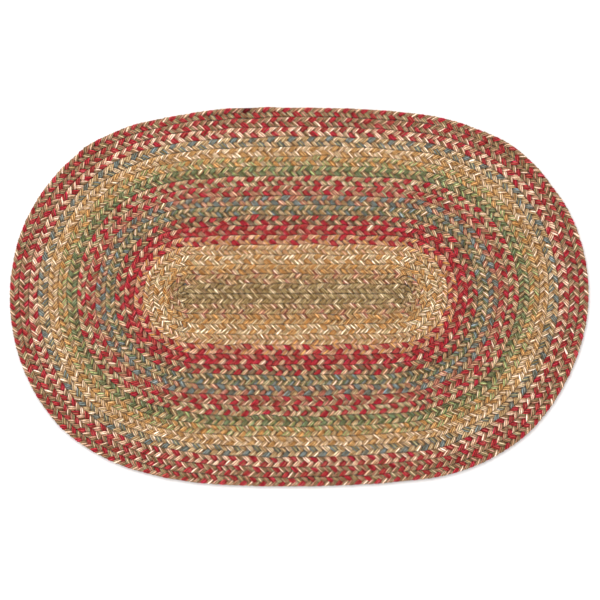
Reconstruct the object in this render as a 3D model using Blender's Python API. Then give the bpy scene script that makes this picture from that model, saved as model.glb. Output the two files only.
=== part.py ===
"""A braided rug: one flat oval mat of braids laid side by side round a short slit, in metres, +Z up.

Everything is measured from the slit, a straight line near the middle of the rug. A place round the rug is
its lap: 0 to 1 along the far long side, 1 to 2 round the right end, 2 to 3 along the near long side and 3 to
4 round the left end, clockwise seen from above. A place across the rug is its share of the reach, which is
the distance from the slit out to the edge at that lap.
"""

import math

import bmesh
import bpy
import numpy as np

BRAIDS = 19  # rows between the slit and the edge
SLIT = 0.270  # length of the fold that the innermost braid closes round
THICKNESS = 0.009  # at the crown of a braid
GROOVE = 0.002  # depth of the groove between two braids
SHOULDERS = (0.3, 0.7)  # where a braid's flat crown starts and ends, as shares of its width
RIM_WIDTH = 0.004  # how far the rounded rim leans in from the edge

# The reach at even steps along each stretch of the edge, from the start of that stretch.
REACH = {
    "far side": (0.2377, 0.2452),
    "right end": (0.2400, 0.2405, 0.2480, 0.2512, 0.2522, 0.2511, 0.2526, 0.2486),
    "near side": (0.2480, 0.2544),
    "left end": (0.2481, 0.2446, 0.2465, 0.2427, 0.2396, 0.2390, 0.2379, 0.2358),
}

SIDE_STEPS = 8  # flat facets along each long side
END_STEPS = 24  # and round each end
RIM_ANGLES = (55, 25, 0, -35, -65, -90)  # degrees up the rounded rim, from the crown down to the floor
WELD = 1e-6  # the slit's two sides meet in the same points
SHARP = 35  # degrees between two faces from which their edge shades sharp

YARN_COLOUR = (0.42, 0.27, 0.17, 1.0)  # the wool's mixed tan and rose, seen from afar
YARN_ROUGHNESS = 0.95


def laps():
    """Places round the rug, evenly spaced within each stretch."""
    steps = (SIDE_STEPS, END_STEPS, SIDE_STEPS, END_STEPS)
    return np.concatenate([side + np.arange(count) / count for side, count in enumerate(steps)])


def slit_and_outward(lap):
    """The slit's nearest point, and the level direction from it to the edge."""
    stretch = np.floor(lap).astype(int)
    part = lap - stretch
    end = np.full_like(lap, SLIT / 2)
    x = np.choose(stretch, ((part - 0.5) * SLIT, end, (0.5 - part) * SLIT, -end))
    bearing = math.pi * np.choose(stretch, (0 * part, part, 1 + 0 * part, 1 + part))
    return np.stack([x, 0 * x], 1), np.stack([np.sin(bearing), np.cos(bearing)], 1)


def edge_at(lap):
    """The edge: a smooth closed Catmull-Rom curve through the points that the table's reaches give."""
    counts = np.array([len(reaches) for reaches in REACH.values()])
    knot_lap = np.concatenate([side + np.arange(count) / count for side, count in enumerate(counts)])
    slit, outward = slit_and_outward(knot_lap)
    knots = slit + outward * np.concatenate(list(REACH.values()))[:, None]
    stretch = np.floor(lap).astype(int)
    place = (np.cumsum(counts) - counts)[stretch] + (lap - stretch) * counts[stretch]
    whole = np.floor(place).astype(int)
    part = (place - whole)[:, None]
    before, here, after, beyond = (knots[(whole + k) % len(knots)] for k in (-1, 0, 1, 2))
    bend = 2 * before - 5 * here + 4 * after - beyond
    twist = 3 * (here - after) + beyond - before
    return here + part / 2 * (after - before + part * (bend + part * twist))


def section():
    """The section from the slit over the braids, round the rim and back underneath: share, inset, height."""
    rows = []
    for braid in range(BRAIDS):
        rows.append((braid / BRAIDS, 0.0, THICKNESS - GROOVE))
        rows += [((braid + shoulder) / BRAIDS, 0.0, THICKNESS) for shoulder in SHOULDERS]
    for angle in map(math.radians, RIM_ANGLES):
        rows.append((1.0, RIM_WIDTH * (1 - math.cos(angle)), THICKNESS / 2 * (1 + math.sin(angle))))
    rows.append((0.0, 0.0, 0.0))
    return np.array(rows)


def rug_points():
    """A grid of points, section by lap, with the middle of its outline over the origin."""
    lap = laps()
    slit, outward = slit_and_outward(lap)
    span = edge_at(lap) - slit
    share, inset, height = section().T
    level = slit + share[:, None, None] * span - inset[:, None, None] * outward
    outline = level.reshape(-1, 2)
    level -= (outline.min(0) + outline.max(0)) / 2
    up = np.broadcast_to(height[:, None, None], (*level.shape[:2], 1))
    return np.concatenate([level, up], 2)


def rug_mesh():
    """The grid joined into one closed skin. The slit's two sides weld together above and below."""
    points = rug_points()
    rings, steps = points.shape[:2]
    index = np.arange(rings * steps).reshape(rings, steps)
    after = np.roll(index, -1, axis=1)
    faces = np.stack([index[:-1], index[1:], after[1:], after[:-1]], 2).reshape(-1, 4)
    mesh = bpy.data.meshes.new("rug")
    mesh.from_pydata(points.reshape(-1, 3).tolist(), [], faces.tolist())
    skin = bmesh.new()
    skin.from_mesh(mesh)
    bmesh.ops.remove_doubles(skin, verts=skin.verts, dist=WELD)
    bmesh.ops.recalc_face_normals(skin, faces=skin.faces)
    skin.to_mesh(mesh)
    skin.free()
    mesh.shade_smooth()
    mesh.set_sharp_from_angle(angle=math.radians(SHARP))
    return mesh


def yarn():
    material = bpy.data.materials.new("braided_yarn")
    material.use_nodes = True
    surface = material.node_tree.nodes["Principled BSDF"]
    surface.inputs["Base Color"].default_value = YARN_COLOUR
    surface.inputs["Roughness"].default_value = YARN_ROUGHNESS
    surface.inputs["Metallic"].default_value = 0.0
    return material


for old in list(bpy.data.objects):
    bpy.data.objects.remove(old)
rug = bpy.data.objects.new("rug", rug_mesh())
rug.data.materials.append(yarn())
bpy.context.scene.collection.objects.link(rug)
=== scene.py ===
"""The looks of a flat oval braided rug: nineteen hoops of three-strand braid, laced side by side.

A place round the rug is its lap: 0 to 1 along the far long side, 1 to 2 round the right end, 2 to 3 along the
near long side and 3 to 4 round the left end, clockwise seen from above. A place across it is its share of the
reach, the distance from the slit in the middle out to the edge. Lengths are in metres.
"""

import math

import bpy
import numpy as np
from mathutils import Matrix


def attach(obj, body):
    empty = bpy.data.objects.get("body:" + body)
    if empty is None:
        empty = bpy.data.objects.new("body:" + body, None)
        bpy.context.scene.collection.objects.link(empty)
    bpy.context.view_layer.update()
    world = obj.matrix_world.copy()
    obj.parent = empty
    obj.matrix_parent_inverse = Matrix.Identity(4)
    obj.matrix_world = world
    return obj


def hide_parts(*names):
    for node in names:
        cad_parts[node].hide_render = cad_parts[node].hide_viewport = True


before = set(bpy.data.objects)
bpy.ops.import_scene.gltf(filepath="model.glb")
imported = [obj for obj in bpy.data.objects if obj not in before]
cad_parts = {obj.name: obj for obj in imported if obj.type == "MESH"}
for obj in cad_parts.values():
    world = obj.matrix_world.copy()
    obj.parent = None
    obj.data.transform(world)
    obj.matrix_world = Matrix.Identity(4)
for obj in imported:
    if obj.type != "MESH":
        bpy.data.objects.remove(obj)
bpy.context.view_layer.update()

# ------------------------------------------------------------------ the rug's outline

SLIT = 0.270  # its length, in the middle of the rug
REACH = {  # at even places along each side
    "far side": (0.2377, 0.2452),
    "right end": (0.2400, 0.2405, 0.2480, 0.2512, 0.2522, 0.2511, 0.2526, 0.2486),
    "near side": (0.2480, 0.2544),
    "left end": (0.2481, 0.2446, 0.2465, 0.2427, 0.2396, 0.2390, 0.2379, 0.2358),
}
STEPS_PER_LAP = 2500  # for measuring along a braid

# The innermost hoops reach further at both ends than even rows would: hoops from the middle, and how far.
END_ROOM = ((0, 1, 2, 3), (0.0065, 0.0065, 0.0040, 0.0))

STRAY = 0.0006  # how far the borders between the braids stray from their even places
STRAY_WAVES = 26  # at most, in one turn round the rug
STRAY_SEED = 1000  # with the border's number added

# Where the edge swells or dents between the measured places.
EDGE_WAVES = (
    ("lap", "length", "out"),
    (0.10, 0.022, 0.0012),
    (0.21, 0.024, 0.0020),
    (0.37, 0.020, 0.0014),
    (1.20, 0.024, 0.0017),
    (1.31, 0.022, -0.0012),
    (1.70, 0.060, -0.0010),
    (2.45, 0.110, -0.0008),
    (3.07, 0.030, -0.0012),
    (3.81, 0.020, 0.0020),
    (3.94, 0.022, -0.0014),
)

# The tucked end of the outermost braid.
TUCK_LAP = 0.268
TUCK_LENGTH = 0.009
TUCK_SINK = 0.6  # as a share of the strand's height
TUCK_SHADE_DEPTH = 0.75  # the painted shade on the tucked end, as the yarn's depth and groove shades count it
TUCK_GROOVE_SHADE = 0.95

# ------------------------------------------------------------------ a braid's strands

# A strand is a flat bundle of six yarns, three on each face. In each half of a cycle it comes up through the
# middle of its braid, goes slantwise over the next strand to a side, folds there and comes back underneath.
# Its phase is 0 or 180 degrees in the middle, and 90 or 270 at a fold.
STRANDS = 3
RING_PHASES = (0, 30, 64, 82, 98, 116, 150)  # of the rings of points in each half of a cycle, in degrees
FOLD_PHASE = math.radians(82)  # from here on it has reached the side
LOBE_PHASE = math.pi / 4  # the middle of the lobe that shows
LOBE_LINE = 0.25  # how far in from its row's outer border a lobe's middle is, as a share of the row
CYCLE = 0.0257  # the usual length of a cycle

# The section, round from the left edge: across, as a share of the half width, and up, of the half thickness.
SECTION = (
    (-1.0, 0.0), (-0.72, 0.86), (-0.36, 0.60), (0.0, 1.0), (0.36, 0.60), (0.72, 0.86),
    (1.0, 0.0), (0.72, -0.86), (0.36, -0.60), (0.0, -1.0), (-0.36, -0.60), (-0.72, -0.86),
)
SIDES = len(SECTION)
SIDES_PER_YARN = 2
YARNS = SIDES // SIDES_PER_YARN
HALF_THICKNESS = 0.0023  # of a strand
FULLNESS = 1.10  # width of a strand, as a share of that at which it just touches the next one
TAPER = 0.74  # width at the folds and crossings, as a share of that half way between them
TAPER_POWER = 0.7  # the smaller, the shorter the taper
MIDDLE = 0.0044  # height of the middle of the braid
RISE = 0.0021  # of a strand above or below it
RISE_POWER = 0.42  # the smaller, the sooner a strand is at its full height after a crossing
SHEAR = math.radians(45)  # how far the section turns from along the braid, at a fold, to across the strand
TILT = math.radians(105)  # how far the thickness turns from level, at a fold, to past upright
TILT_POWER = 0.4  # the smaller, the sharper the fold
BITE = 0.03  # how far a braid presses into the next one, as a share of half its width
EDGE_ROOM = 0.0005  # how far the outermost strands stay inside the edge

# How much a strand varies along its way.
SLACK = 0.28  # radians of phase by which its lobes come early or late
REACH_SPREAD = 0.02  # this and the next ones are shares
RISE_SPREAD = 0.05
WIDTH_SPREAD = 0.06
PLUMPNESS_SPREAD = 0.05
YARN_SHIFT = 0.08
YARN_SWELL = 0.09
WANDER_SINES = 8

# How deep in the braid a strand looks, from 0 on top to 1 in the middle of its height. It sets the painted
# shade that darkens the yarn where it sinks.
EDGE_SHADE = 0.70  # of that, on the rug's edge, which is open to the light
FOLD_SHADE = 0.8  # of that, at a fold

# ------------------------------------------------------------------ colours

# Yarn colours, as seen on a screen, 0 to 255.
YARN_COLOURS = {
    "R": (169, 42, 48),  # red
    "X": (168, 40, 55),  # crimson
    "M": (152, 60, 52),  # brick
    "F": (166, 100, 80),  # faded red
    "K": (178, 126, 102),  # rose taupe
    "P": (207, 158, 124),  # peach
    "S": (231, 194, 163),  # pinkish cream
    "Y": (215, 180, 149),  # dull cream
    "C": (230, 200, 165),  # cream
    "W": (250, 226, 188),  # pale cream
    "Z": (212, 188, 148),  # pale beige
    "N": (192, 166, 124),  # grey beige
    "A": (186, 150, 104),  # tan
    "G": (189, 145, 90),  # gold
    "H": (201, 146, 84),  # orange gold
    "Q": (176, 140, 97),  # brown olive
    "O": (158, 134, 89),  # olive
    "T": (146, 119, 87),  # taupe
    "D": (118, 94, 74),  # dark taupe
    "V": (148, 137, 98),  # sage
    "L": (158, 163, 104),  # light green
    "E": (107, 116, 79),  # dark green
    "B": (113, 121, 114),  # blue
}
DUST = (186, 154, 118)  # the tan fibres that are in every yarn
DUST_SHARE = 0.05
DUST_SPREAD = 0.07
MOST_DUST = 0.4
TONE_SPREAD = 0.18
PALING = (0.75, 1.0, 1.35)  # powers of a yarn's tone, by which a lighter stretch of it is also paler

# One row for each braid, outermost first: the length of a cycle and how far along from the middle of the far
# side the first strand's lobe lies, both in millimetres, and each strand's yarns from left to right, or those
# of its outer lobes and then those of its inner ones.
BRAIDS = (
    ("cycle", "lobe", "first", "second", "third"),
    (25.4, -10.1, "RXRXRR", "TTKVKT", "TSTTNV"),
    (25.4, -2.9, "XRRRXR", "TTKVTK", "TTSTTS"),
    (25.9, 11.5, "RMXRXR", "PSS", "TKSTTS"),
    (25.9, -4.6, "BBBBVB", "TCNCNC", "ANATAN"),
    (26.6, -1.3, "GGG", "ACA", "CNC"),
    (25.4, -12.5, "GHG", "TNACTN", "LNL"),
    (25.4, -5.5, "EEE", "NNATNT", "ELNELT"),
    (25.6, -7.1, "RXRMRX", "NYNYNV", "NPTYNV"),
    (26.9, 2.9, "RXRRRX", "PTYPKP", "KFTKFV"),
    (25.6, 13.0, "BBB", "FFKFPK", "ANTANT"),
    (24.2, 9.2, "BBE", "VNVTNT", "OYOVAN"),
    (26.5, -0.4, "XRRRXR", "DTDKDD", "TPNVPN"),
    (25.7, -5.5, "KYPTKK", "RXRXRR", "RRXRRM"),
    (25.6, 11.8, "XRRRRX", "PPP", "PHK"),
    (25.7, 9.2, "WAN", "GCA", "PHPGPG"),
    (26.2, 13.4, "WOW", "NCN", "HGH"),
    (26.2, -2.1, "GHG", "NAAAGA", "GNGFYN"),
    (26.0, 12.6, "QQO", "ONQOZQ", "FPQFYQ"),
    (25.1, 8.8, "OZN", "OTO", "OOO"),
)
ROWS = len(BRAIDS) - 1
FAR_MIDDLE = 0.5  # the lap at the middle of the far side

# ------------------------------------------------------------------ the yarn's finish

# What the yarn's own colour is multiplied by, red, green and blue.
DARK_FIBRE = (0.60, 0.48, 0.34)
PALE_FIBRE = (1.40, 1.50, 1.68)
# Full colour where a strand lies open, and a dark brown painted shade where it is deep or in a groove.
OPEN = (1.325, 1.325, 1.325)
PAINTED_SHADE = (0.15, 0.08, 0.045)
PLY_SHADES = (0.96, 1.22)  # painted shade between two plies, and painted light on one
PATCH_SHADES = (0.8, 1.2)

PLIES_PER_METRE = 400
PLY_RANGE = (-1.0, 0.4)  # of the plies' sine, over which the painted light on the yarn grows
FIBRE_SCALE = (1.0, 0.35, 1.0)  # streaks to a yarn's width and to a ply
FIBRE_DETAIL = 3.0
PATCH_SCALE = (1.4, 1.2, 1.0)
PATCH_DETAIL = 2.0
PATCH_PLACE = (31.7, 12.3, 0.0)  # away from the fibres' noise
NOISE_RANGE = (0.3, 0.7)  # where nearly all of a noise lies
DEEP_RANGE = (0.15, 0.6)  # of depth, over which the painted shade darkens the yarn
DEEP_SHADE = 0.7  # the painted shade at most, where the bottom of a groove has 1
GROOVE_START = 0.25  # of the groove mask, from which on the painted shade darkens the yarn
FUZZ = 2.0  # height of the fibres, beside that of the plies
BUMP_HEIGHT = 0.0003
BUMP_STRENGTH = 0.8

# A strip of the bake map, as shares of its length and height. The room after its end is for the face that
# reaches past it.
STRIP_START = 0.005
STRIP_LENGTH = 0.96
STRIP_FOOT = 0.04
STRIP_HEIGHT = 0.92

# ------------------------------------------------------------------ the studio

FLOOR_SIZE = 6.0  # half its width
FLOOR_WHITE = 0.93
FLOOR_ROUGHNESS = 0.9
SKY_STRENGTH = 0.85
LAMP_SIZE = 1.6
LAMP_POWER = 36.0
LAMP_PLACE = (-0.4, 0.8, 2.3)
PHOTO_PIXELS = 600  # the photograph's width
RUG_PIXELS = 579  # the rug's length in it
RUG_MM = 762
FRAME_WIDTH = PHOTO_PIXELS * (RUG_MM / RUG_PIXELS) / 1000  # of the floor that the photograph shows
CAMERA_PLACE = (0.00095, -0.0036, 3.0)  # straight above the middle of the photograph
SENSOR_MM = 36.0


# ------------------------------------------------------------------ lines round the rug


def slit_and_outward(lap):
    """The slit's nearest point, and the level direction from it to the edge, turning half round at an end."""
    stretch = np.floor(lap).astype(int)
    part = lap - stretch
    end = np.full_like(lap, SLIT / 2)
    x = np.choose(stretch, ((part - 0.5) * SLIT, end, (0.5 - part) * SLIT, -end))
    bearing = math.pi * np.choose(stretch, (0 * part, part, 1 + 0 * part, 1 + part))
    return np.stack([x, 0 * x], 1), np.stack([np.sin(bearing), np.cos(bearing)], 1)


def edge_at(lap):
    """The edge: a closed Catmull-Rom curve through the points that the table's reaches give."""
    counts = np.array([len(reaches) for reaches in REACH.values()])
    knot_lap = np.concatenate([side + np.arange(count) / count for side, count in enumerate(counts)])
    slit, outward = slit_and_outward(knot_lap)
    knots = slit + outward * np.concatenate(list(REACH.values()))[:, None]
    stretch = np.floor(lap).astype(int)
    place = (np.cumsum(counts) - counts)[stretch] + (lap - stretch) * counts[stretch]
    whole = np.floor(place).astype(int)
    part = (place - whole)[:, None]
    before, here, after, beyond = (knots[(whole + k) % len(knots)] for k in (-1, 0, 1, 2))
    bend = 2 * before - 5 * here + 4 * after - beyond
    twist = 3 * (here - after) + beyond - before
    return here + part / 2 * (after - before + part * (bend + part * twist))


LAP = np.arange(4 * STEPS_PER_LAP) / STEPS_PER_LAP
EDGE = edge_at(LAP)
SLIT_POINTS, OUTWARD = slit_and_outward(LAP)
INWARD = EDGE - SLIT_POINTS
ENDWARD = SLIT_POINTS / (SLIT / 2)
ORIGIN = (EDGE.min(0) + EDGE.max(0)) / 2


def closed(values):
    """Values along a closed line, with the first again where it closes."""
    return np.concatenate([values, values[:1]])


def line_at(share):
    """A line round the rug at that share of the reach: its points and the distances along it, closed."""
    points = EDGE + (share - 1) * INWARD + np.interp(share * ROWS, *END_ROOM) * ENDWARD - ORIGIN
    steps = np.linalg.norm(np.roll(points, -1, 0) - points, axis=1)
    return points, np.concatenate([[0], np.cumsum(steps)])


def wander(places, waves, rng):
    """A smooth closed random curve, its spread 1: sines of whole numbers of waves round the hoop, added."""
    counts = rng.integers(waves // 3, waves, WANDER_SINES)
    phases = rng.uniform(0, 2 * math.pi, WANDER_SINES)
    sines = np.sin(2 * math.pi * counts * places[:, None] + phases)
    return sines.sum(1) / math.sqrt(WANDER_SINES / 2)


def bump_at(lap, width, here, along):
    """A bell curve along a braid: 1 at that lap, and 1/e a width away from it."""
    length = along[-1]
    away = (here - np.interp(lap, LAP, along[:-1]) + length / 2) % length - length / 2
    return np.exp(-((away / width) ** 2))


def stray_at(border, turn):
    """How far outward a border between braids strays, turn being 0 to 1 round the rug. The edge stays."""
    if border in (0, ROWS):
        return 0 * turn
    return STRAY * wander(turn, STRAY_WAVES, np.random.default_rng(STRAY_SEED + border))


def row_at(braid, here, along):
    """Half the width of a braid's row, and how far outward its middle strays, at those places along it."""
    turn = np.interp(here, along, np.append(LAP / 4, 1))
    outer, inner = stray_at(braid, turn), stray_at(braid + 1, turn)
    more = np.interp(ROWS - braid, *END_ROOM) - np.interp(ROWS - braid - 1, *END_ROOM)
    half_pitch = (np.linalg.norm(INWARD, axis=1) / ROWS + more * (ENDWARD * OUTWARD).sum(1)) / 2
    return np.interp(here, along, closed(half_pitch)) + (outer - inner) / 2, (outer + inner) / 2


def bent_round(middle, along, here, outward):
    """Level coordinates of points that lie so far along a braid's middle line and so far outward from it."""
    run = np.roll(middle, -1, 0) - np.roll(middle, 1, 0)
    run /= np.linalg.norm(run, axis=1)[:, None]
    normal = np.stack([-run[:, 1], run[:, 0]], 1)
    here = here % along[-1]
    line, away = ([np.interp(here, along, closed(each[:, k])) for k in (0, 1)] for each in (middle, normal))
    return [line[k] + outward * away[k] for k in (0, 1)]


# ------------------------------------------------------------------ strands


def half_width_of(cycle):
    """Half the width of a strand's section where a cycle of the braid is that long."""
    return FULLNESS * cycle / (2 * STRANDS) * math.sin(SHEAR)


def strand_course(braid, cycle, lobe, number, along):
    """Each ring's phase, distance along the braid and length of cycle, and how many cycles there are.

    The phase grows evenly along the line of the outer lobes, apart from a random slack that the three strands
    share, and the strands are a third of a turn apart.
    """
    lobes = line_at((ROWS - braid - LOBE_LINE) / ROWS)[1]
    cycles = round(lobes[-1] / cycle)
    start = np.interp(FAR_MIDDLE, LAP, lobes[:-1]) + lobe
    slack = SLACK * wander(lobes / lobes[-1], cycles // 3, np.random.default_rng(braid))
    phase = 2 * math.pi * (cycles * (lobes - start) / lobes[-1] - number / STRANDS) + LOBE_PHASE + slack

    rings = np.radians(np.concatenate([RING_PHASES, np.add(RING_PHASES, 180)]))
    turn = (rings + 2 * math.pi * np.arange(cycles)[:, None]).ravel()
    here = np.interp((turn - phase[0]) % (2 * math.pi * cycles) + phase[0], phase, along)
    pace = np.interp(here, along, np.gradient(along, phase)) * 2 * math.pi
    return turn, here, pace, cycles


def strand_points(braid, cycle, lobe, number, rng):
    """One strand: its points ring by ring, how deep each looks for its painted shade, 0 to 1, and how far a
    ring is tucked.

    In each half of a cycle the face that shows goes straight across from the middle to the fold and back
    below, the strand's middle line lies half a thickness inside it, and its height is a steep power of the
    sine of twice the phase. A ring is the section laid along the braid at a fold and square across the strand
    in the middle, so it turns with minus the cosine of the phase, and its thickness turns from up to outward
    to down. The section is narrower at the folds and crossings. The other half is the same mirrored, with the
    other face showing. Widths and heights wander a little. The outermost strands follow the edge's swells and
    dents, and sink where the braid's end is tucked. All this is done in distances along, across and above the
    braid, and is bent round the hoop last.
    """
    middle, along = line_at((ROWS - braid - 0.5) / ROWS)
    turn, here, pace, cycles = strand_course(braid, cycle, lobe, number, along)
    place = turn / (2 * math.pi * cycles)

    half = np.floor(turn / math.pi)
    side = np.where(half % 2 == 0, 1.0, -1.0)
    local = turn - half * math.pi
    lean = np.abs(np.cos(local)) ** TILT_POWER * np.sign(np.cos(local))
    tilt = math.pi / 2 - TILT * lean
    shear = -SHEAR * np.cos(local)
    thick_along = -HALF_THICKNESS * np.sin(tilt) * np.sin(shear)
    thick_across = HALF_THICKNESS * np.sin(tilt) * np.cos(shear)
    thick_up = HALF_THICKNESS * np.cos(tilt)

    reach, strayed = row_at(braid, here, along)
    at_edge = (braid == 0) & (side > 0)
    reach = np.where(at_edge, reach - EDGE_ROOM, reach * (1 + BITE))
    reach = reach * (1 + REACH_SPREAD * wander(place, cycles, rng))
    begin = -HALF_THICKNESS * math.sin(TILT - math.pi / 2) * math.cos(SHEAR)
    way = np.minimum(1, (math.pi / 2 - np.abs(local - math.pi / 2)) / FOLD_PHASE)
    centre_across = side * (begin + (reach - begin) * way - thick_across) + strayed
    sine = np.sin(2 * local)
    rise = RISE * (1 + RISE_SPREAD * wander(place, cycles, rng))
    centre_up = MIDDLE + rise * np.abs(sine) ** RISE_POWER * np.sign(sine)

    tuck = at_edge * bump_at(TUCK_LAP, TUCK_LENGTH, here, along)
    for lap, length, out in EDGE_WAVES[1:]:
        centre_across += at_edge * out * bump_at(lap, length, here, along)
    centre_up -= TUCK_SINK * tuck * np.sin(local) * (centre_up - HALF_THICKNESS)

    wide = half_width_of(pace) / np.cos(SHEAR - np.abs(shear))
    taper = TAPER + (1 - TAPER) * np.abs(sine) ** TAPER_POWER
    wide *= taper * (1 + WIDTH_SPREAD * wander(place, cycles, rng))
    plump = 1 + PLUMPNESS_SPREAD * wander(place, 2 * cycles, rng)
    shifts = [YARN_SHIFT * wander(place, cycles, rng) for _ in SECTION]
    swells = [1 + YARN_SWELL * wander(place, cycles, rng) for _ in SECTION]
    across = np.stack([u + (abs(u) < 1) * shift for (u, _), shift in zip(SECTION, shifts)], 1) * wide[:, None]
    up = np.stack([n * swell for (_, n), swell in zip(SECTION, swells)], 1) * plump[:, None]
    s = here[:, None] + across * np.cos(shear)[:, None] + up * (side * thick_along)[:, None]
    y = centre_across[:, None] + across * (side * np.sin(shear))[:, None] + up * thick_across[:, None]
    z = centre_up[:, None] + up * (side * thick_up)[:, None]
    points = np.stack([*bent_round(middle, along, s, y), np.clip(z, 0.0, None)], 2)

    # Painted shade: the nearer a point is to the braid's middle height the darker it is, less so on the rug's
    # edge and at folds, and dark on the tucked end.
    shade_depth = np.clip(1 - np.abs(z - MIDDLE) / (RISE + HALF_THICKNESS), 0, 1)
    shade_depth *= np.where(at_edge, EDGE_SHADE, 1)[:, None]
    shade_depth *= (FOLD_SHADE + (1 - FOLD_SHADE) * np.abs(np.cos(local)))[:, None]
    return points, np.maximum(shade_depth, TUCK_SHADE_DEPTH * tuck[:, None]), tuck


def girth_of(half_width):
    """How far it is round the section of a strand of that half width."""
    corners = np.array(SECTION) * (half_width, HALF_THICKNESS)
    return np.linalg.norm(np.roll(corners, -1, 0) - corners, axis=1).sum()


GIRTH = girth_of(half_width_of(CYCLE))

# ------------------------------------------------------------------ braids


def screen_to_linear(colour):
    """A screen colour, 0 to 255, as linear light."""
    part = np.array(colour) / 255
    return np.where(part <= 0.04045, part / 12.92, ((part + 0.055) / 1.055) ** 2.4)


def corners_of(grid):
    """The four corners of each face of a grid that has one more row and column than faces."""
    return np.stack([grid[:-1, :-1], grid[:-1, 1:], grid[1:, 1:], grid[1:, :-1]], 2)


def yarn_order(recipe):
    """A recipe's letters in the section's order: the upper face left to right, the lower right to left."""
    return recipe[:3] + recipe[-3:][::-1]


def yarn_paint(recipe, count, rng):
    """Colours for the corners of a strand's faces: its yarns' own, dusted, lighter and darker by turns."""
    yarns = np.array([screen_to_linear(YARN_COLOURS[letter]) for letter in yarn_order(recipe)])
    share = np.arange(count) / count
    waves = count // len(RING_PHASES)
    tone = np.stack([1 + TONE_SPREAD * wander(share, waves, rng) for _ in range(YARNS)], 1)
    dust = np.stack([DUST_SHARE + DUST_SPREAD * wander(share, waves, rng) for _ in range(YARNS)], 1)
    dust = np.clip(dust, 0, MOST_DUST)[..., None]
    colour = (yarns * (1 - dust) + screen_to_linear(DUST) * dust) * tone[..., None] ** PALING
    colour = np.repeat(colour, SIDES_PER_YARN, axis=1)
    colour = np.repeat(colour[:, :, None], 4, axis=2)
    return np.concatenate([colour, np.ones_like(colour[..., :1])], -1).reshape(-1, 4)


def strip_map(distances):
    """The strands cut into straight strips and laid under each other in a square.

    The number of strips is that for which a strip is as much longer than high as the strand it holds. A face
    that reaches past its strip's end stays whole, in a little room left there.
    """
    length = max(along[-1] for along in distances)
    per_strand = max(1, round(math.sqrt(len(distances) * length / GIRTH) / len(distances)))
    strips = per_strand * len(distances)
    corners = []
    for number, along in enumerate(distances):
        place = along / along[-1] * per_strand
        strip = np.floor(place[:-1])[:, None]
        ends = (place[:-1], place[1:])
        left, right = (STRIP_START + STRIP_LENGTH * (end[:, None] - strip) for end in ends)
        low, high = (STRIP_FOOT + STRIP_HEIGHT * (np.arange(SIDES) + k)[None] / SIDES for k in (0, 1))
        low, high = ((number * per_strand + strip + edge) / strips for edge in (low, high))
        left, right = left + 0 * low, right + 0 * low
        corners.append(np.stack([left, low, left, high, right, high, right, low], 2).reshape(-1, 2))
    return np.concatenate(corners)


def put_map(mesh, name, corners):
    """A UV map from one pair of numbers for each corner."""
    layer = mesh.uv_layers.new(name=name)
    layer.uv.foreach_set("vector", corners.astype(np.float32).ravel())


def four_sided_mesh(name, points, faces):
    """A smooth mesh of these points, with four corners to each face."""
    mesh = bpy.data.meshes.new(name)
    mesh.vertices.add(len(points))
    mesh.vertices.foreach_set("co", points.astype(np.float32).ravel())
    mesh.loops.add(faces.size)
    mesh.loops.foreach_set("vertex_index", faces.astype(np.int32).ravel())
    mesh.polygons.add(len(faces))
    mesh.polygons.foreach_set("loop_start", np.arange(0, faces.size, 4, dtype=np.int32))
    mesh.update(calc_edges=True)
    mesh.polygons.foreach_set("use_smooth", np.ones(len(faces), bool))
    return mesh


def make_braid(braid, columns, material):
    """A hoop of braid, three closed grids of rings by sides, and the length of its longest strand."""
    cycle, lobe = columns["cycle"] / 1000, columns["lobe"] / 1000
    points, faces, colours, shade_depths, groove_shades, yarn_map, distances = [], [], [], [], [], [], []
    # Painted shade in the grooves between the yarns and along the strands' edges: 1 there, 0 on the crests.
    groove_shade_points = np.where(np.arange(SIDES) % SIDES_PER_YARN == 0, 1.0, 0.0)
    begin = 0
    for number, name in enumerate(("first", "second", "third")):
        rng = np.random.default_rng(100 * braid + number)
        rings, shade_depth, tuck = strand_points(braid, cycle, lobe, number, rng)
        count = len(rings)
        index = begin + np.arange(count * SIDES).reshape(count, SIDES)
        begin += count * SIDES
        points.append(rings.reshape(-1, 3))
        faces.append(corners_of(np.pad(index, ((0, 1), (0, 1)), mode="wrap")).reshape(-1, 4))
        colours.append(yarn_paint(columns[name], count, rng))
        shade_depths.append(shade_depth.ravel())
        groove_shades.append(np.maximum(groove_shade_points, TUCK_GROOVE_SHADE * tuck[:, None]).ravel())

        centre = rings.mean(1)
        steps = np.linalg.norm(np.roll(centre, -1, 0) - centre, axis=1)
        along = np.concatenate([[0], np.cumsum(steps)])
        around, length = np.meshgrid(np.arange(SIDES + 1) / SIDES_PER_YARN, along)
        yarn_map.append(corners_of(np.stack([around, length * PLIES_PER_METRE], 2)).reshape(-1, 2))
        distances.append(along)

    mesh = four_sided_mesh("braid_%02d" % (braid + 1), np.concatenate(points), np.concatenate(faces))
    put_map(mesh, "yarn", np.concatenate(yarn_map))
    put_map(mesh, "OFBake", strip_map(distances))
    paint = mesh.color_attributes.new("yarn_colour", "FLOAT_COLOR", "CORNER")
    paint.data.foreach_set("color", np.concatenate(colours).astype(np.float32).ravel())
    # The painted shade's two masks, read by the yarn's material.
    for name, values in (("shade_depth", shade_depths), ("groove_shade", groove_shades)):
        attribute = mesh.attributes.new(name, "FLOAT", "POINT")
        attribute.data.foreach_set("value", np.concatenate(values).astype(np.float32))
    mesh.validate()
    mesh.materials.append(material)
    piece = bpy.data.objects.new(mesh.name, mesh)
    bpy.context.scene.collection.objects.link(piece)
    return piece, max(along[-1] for along in distances)


# ------------------------------------------------------------------ yarn


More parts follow.
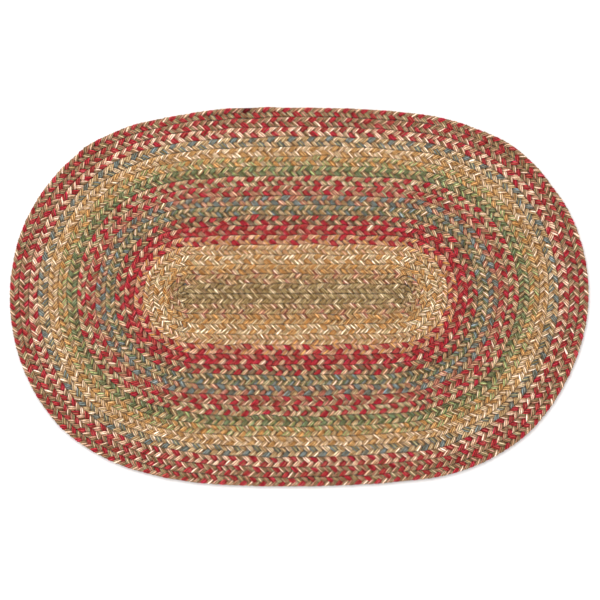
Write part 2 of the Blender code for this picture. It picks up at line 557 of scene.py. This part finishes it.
def node(tree, kind, links=(), **settings):
    """A shader node with its settings, and its inputs linked or set by name or number."""
    made = tree.nodes.new(kind)
    for key, value in settings.items():
        setattr(made, key, value)
    for key, value in dict(links).items():
        if isinstance(value, bpy.types.NodeSocket):
            tree.links.new(value, made.inputs[key])
        else:
            made.inputs[key].default_value = value
    return made


def reckon(tree, operation, *numbers):
    """What a Math node makes of these numbers or outputs."""
    return node(tree, "ShaderNodeMath", dict(enumerate(numbers)), operation=operation).outputs[0]


def times(tree, colour, factor):
    """A colour times another colour or a number."""
    return node(tree, "ShaderNodeVectorMath", {0: colour, 1: factor}, operation="MULTIPLY").outputs[0]


def blend(tree, share, none, full):
    """A colour that goes from one to another as the share goes from 0 to 1."""
    links = {0: share, 6: (*none, 1.0), 7: (*full, 1.0)}
    return node(tree, "ShaderNodeMix", links, data_type="RGBA").outputs[2]


def ranged(tree, value, before, after=(0.0, 1.0)):
    """A value moved from one range to another and kept inside it."""
    inputs = ("Value", "From Min", "From Max", "To Min", "To Max")
    return node(tree, "ShaderNodeMapRange", dict(zip(inputs, (value, *before, *after)))).outputs[0]


def noise(tree, place, scale, detail, location=(0.0, 0.0, 0.0)):
    """Soft noise on the yarn's map, from 0 to 1."""
    scaled = node(tree, "ShaderNodeMapping", {"Vector": place, "Scale": scale, "Location": location})
    links = {"Vector": scaled.outputs[0], "Scale": 1.0, "Detail": detail}
    return node(tree, "ShaderNodeTexNoise", links).outputs["Fac"]


def plied_yarn():
    """Matt wool in the yarn's own colour, plied and streaky, with a painted brown shade where it sinks.

    The plies are a sine of the places along and round the yarn, added. The colour is multiplied by their
    painted shade and light, by the fibres' tint, by soft patches, and by a dark brown painted shade where a
    point is deep or in a groove. The plies and the fibres' noise also make the bumps.
    """
    material = bpy.data.materials.new("plied_yarn")
    material.use_nodes = True
    tree = material.node_tree
    surface = tree.nodes["Principled BSDF"]
    surface.inputs["Roughness"].default_value = 0.92
    surface.inputs["Specular IOR Level"].default_value = 0.12
    surface.inputs["Sheen Weight"].default_value = 0.05
    surface.inputs["Sheen Roughness"].default_value = 0.6

    paint, shade_depth, groove_shade = (node(tree, "ShaderNodeAttribute", attribute_name=name)
                            for name in ("yarn_colour", "shade_depth", "groove_shade"))
    place = node(tree, "ShaderNodeUVMap", uv_map="yarn").outputs["UV"]

    apart = node(tree, "ShaderNodeSeparateXYZ", {"Vector": place}).outputs
    slant = reckon(tree, "ADD", apart["X"], apart["Y"])
    ply = reckon(tree, "SINE", reckon(tree, "MULTIPLY", slant, 2 * math.pi))
    # Painted shade between the plies and painted light along them, multiplied into the colour.
    twist = ranged(tree, ply, PLY_RANGE, PLY_SHADES)

    mottle = noise(tree, place, FIBRE_SCALE, FIBRE_DETAIL)
    tint = blend(tree, ranged(tree, mottle, NOISE_RANGE), DARK_FIBRE, PALE_FIBRE)
    blotch = noise(tree, place, PATCH_SCALE, PATCH_DETAIL, PATCH_PLACE)
    cast = ranged(tree, blotch, NOISE_RANGE, PATCH_SHADES)
    mixed = times(tree, paint.outputs["Color"], times(tree, times(tree, tint, cast), twist))

    # Painted shade: the colour goes to dark brown in the grooves and where a point is deep.
    between = ranged(tree, groove_shade.outputs["Fac"], (GROOVE_START, 1.0))
    depth_shade = ranged(tree, shade_depth.outputs["Fac"], DEEP_RANGE, (0.0, DEEP_SHADE))
    dark = blend(tree, reckon(tree, "MAXIMUM", between, depth_shade), OPEN, PAINTED_SHADE)
    tree.links.new(times(tree, mixed, dark), surface.inputs["Base Color"])

    fuzz = reckon(tree, "MULTIPLY_ADD", mottle, FUZZ, ply)
    bump = node(tree, "ShaderNodeBump", {"Height": fuzz, "Strength": BUMP_STRENGTH, "Distance": BUMP_HEIGHT})
    tree.links.new(bump.outputs[0], surface.inputs["Normal"])
    return material


yarn = plied_yarn()
names = BRAIDS[0]
for braid, row in enumerate(BRAIDS[1:]):
    piece, strand_length = make_braid(braid, dict(zip(names, row)), yarn)
    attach(piece, "root")
    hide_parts("rug")

# ------------------------------------------------------------------ floor, light and camera

floor_mesh = bpy.data.meshes.new("floor")
floor_corners = [(x * FLOOR_SIZE, y * FLOOR_SIZE, 0.0) for x, y in ((-1, -1), (1, -1), (1, 1), (-1, 1))]
floor_mesh.from_pydata(floor_corners, [], [(0, 1, 2, 3)])
floor = bpy.data.objects.new("floor", floor_mesh)
bpy.context.scene.collection.objects.link(floor)
paper = bpy.data.materials.new("pale_floor")
paper.use_nodes = True
floor_surface = paper.node_tree.nodes["Principled BSDF"]
floor_surface.inputs["Base Color"].default_value = (FLOOR_WHITE, FLOOR_WHITE, FLOOR_WHITE, 1.0)
floor_surface.inputs["Roughness"].default_value = FLOOR_ROUGHNESS
floor_mesh.materials.append(paper)

world = bpy.data.worlds.new("studio")
world.use_nodes = True
world.node_tree.nodes["Background"].inputs["Color"].default_value = (1.0, 1.0, 1.0, 1.0)
world.node_tree.nodes["Background"].inputs["Strength"].default_value = SKY_STRENGTH
bpy.context.scene.world = world

lamp = bpy.data.lights.new("soft_box", "AREA")
lamp.shape = "DISK"
lamp.size = LAMP_SIZE
lamp.energy = LAMP_POWER
key = bpy.data.objects.new("soft_box", lamp)
bpy.context.scene.collection.objects.link(key)
key.location = LAMP_PLACE
key.rotation_euler = key.location.to_track_quat("Z", "Y").to_euler()

lens = bpy.data.cameras.new("camera")
lens.sensor_width = SENSOR_MM
lens.lens = lens.sensor_width * CAMERA_PLACE[2] / FRAME_WIDTH
camera = bpy.data.objects.new("camera", lens)
bpy.context.scene.collection.objects.link(camera)
camera.location = CAMERA_PLACE
bpy.context.scene.camera = camera
bpy.context.scene.view_settings.view_transform = "Standard"
